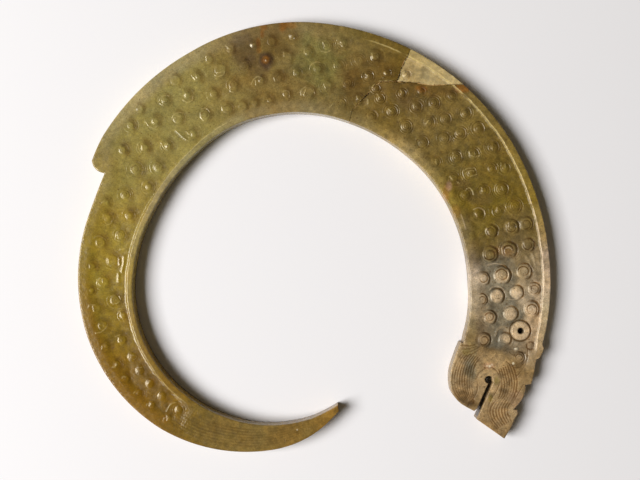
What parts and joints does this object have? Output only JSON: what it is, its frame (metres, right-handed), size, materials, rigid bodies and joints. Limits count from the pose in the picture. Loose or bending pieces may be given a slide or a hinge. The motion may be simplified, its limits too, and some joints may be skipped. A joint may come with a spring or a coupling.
{
  "type": "dragon pendant",
  "caption": "Flat carved jade pendant in the shape of a dragon coiled into an open ring, with rows of bosses inside a raised rim, a drilled hole to hang it by, and a mended break.",
  "frame": {"origin": "on the axis of the suspension hole, at the back face", "axes": "+Z out of the carved front face through the thickness, +X to the right and +Y up as the front is seen"},
  "size_m": [0.1419, 0.1292, 0.006],
  "materials": {
    "olive_jade": "polished, slightly translucent, mottled olive to amber with rust stains in the carving",
    "brown_jade": "satin polish, brown-olive clouded with tan and grey towards the head",
    "pale_jade": "satin, pale cream-olive with orange stains along the break",
    "adhesive": "aged resin, dull amber"
  },
  "bodies": {
    "root": {"body_and_tail": "olive_jade", "head_and_neck": "brown_jade", "outer_edge_wedge": "pale_jade", "adhesive_along_head_break": "adhesive", "adhesive_beside_wedge": "adhesive"}
  },
  "joints": []
}
